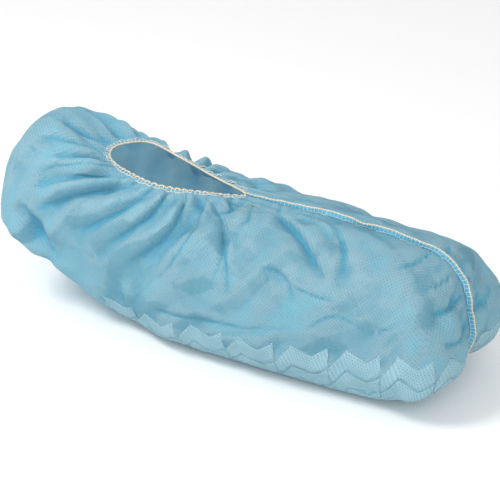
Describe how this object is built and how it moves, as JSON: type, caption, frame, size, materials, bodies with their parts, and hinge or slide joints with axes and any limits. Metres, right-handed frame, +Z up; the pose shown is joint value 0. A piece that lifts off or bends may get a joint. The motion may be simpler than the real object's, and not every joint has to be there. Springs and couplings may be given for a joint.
{
  "type": "shoe cover",
  "caption": "Disposable nonwoven shoe cover: a hollow cloth pouch with a gathered elastic foot opening, an upright overlocked toe seam and a grip layer on the sole.",
  "frame": {"origin": "on the floor under the middle of the cover's length and width", "axes": "+X runs to the toe, +Y to the far side of the picture's view, +Z up"},
  "size_m": [0.3356, 0.1207, 0.124],
  "materials": {
    "cloth": "matt light blue spunbond nonwoven with a fine point bond pattern, slightly translucent",
    "thread": "matt cream overlock thread over covered elastic",
    "grip": "thin whitish grip print in a fine lattice on the blue cloth"
  },
  "bodies": {
    "root": {"cover_shell": "cloth", "seam_fin": "cloth", "seam_edge_thread": "thread", "opening_elastic": "thread", "sole_grip": "grip"}
  },
  "joints": []
}
